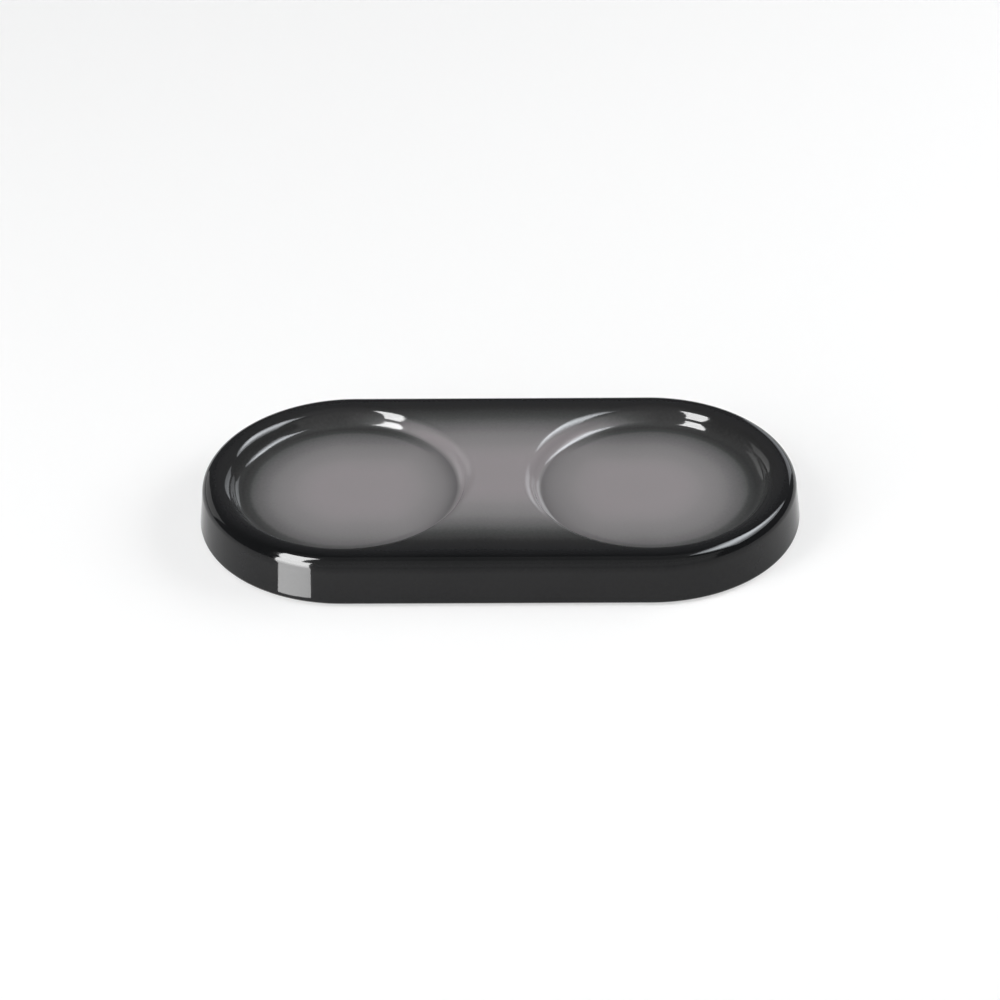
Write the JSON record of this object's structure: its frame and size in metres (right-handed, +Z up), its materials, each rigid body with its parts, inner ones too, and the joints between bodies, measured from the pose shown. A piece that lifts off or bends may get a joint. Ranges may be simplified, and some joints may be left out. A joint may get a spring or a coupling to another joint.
{
  "type": "mill tray",
  "caption": "Oblong glazed stoneware table tray with round ends and shallow round wells that keep salt and pepper mills upright and catch their grounds.",
  "frame": {"origin": "on the table under the middle of the tray, in the plane of the foot ring's standing face", "axes": "+X along the tray from the left well to the right well, +Y towards the back, +Z up out of the wells"},
  "size_m": [0.18, 0.09, 0.0155],
  "materials": {
    "bare_stoneware": "dry, fine sandy",
    "charcoal_glaze": "glossy",
    "fading_glaze": "glossy",
    "grey_glaze": "glossy"
  },
  "bodies": {
    "root": {"stoneware_body": "bare_stoneware", "edge_glaze": "charcoal_glaze", "deck_glaze": "fading_glaze", "left_well_glaze": "grey_glaze", "right_well_glaze": "grey_glaze", "underside_glaze": "charcoal_glaze"}
  },
  "joints": []
}
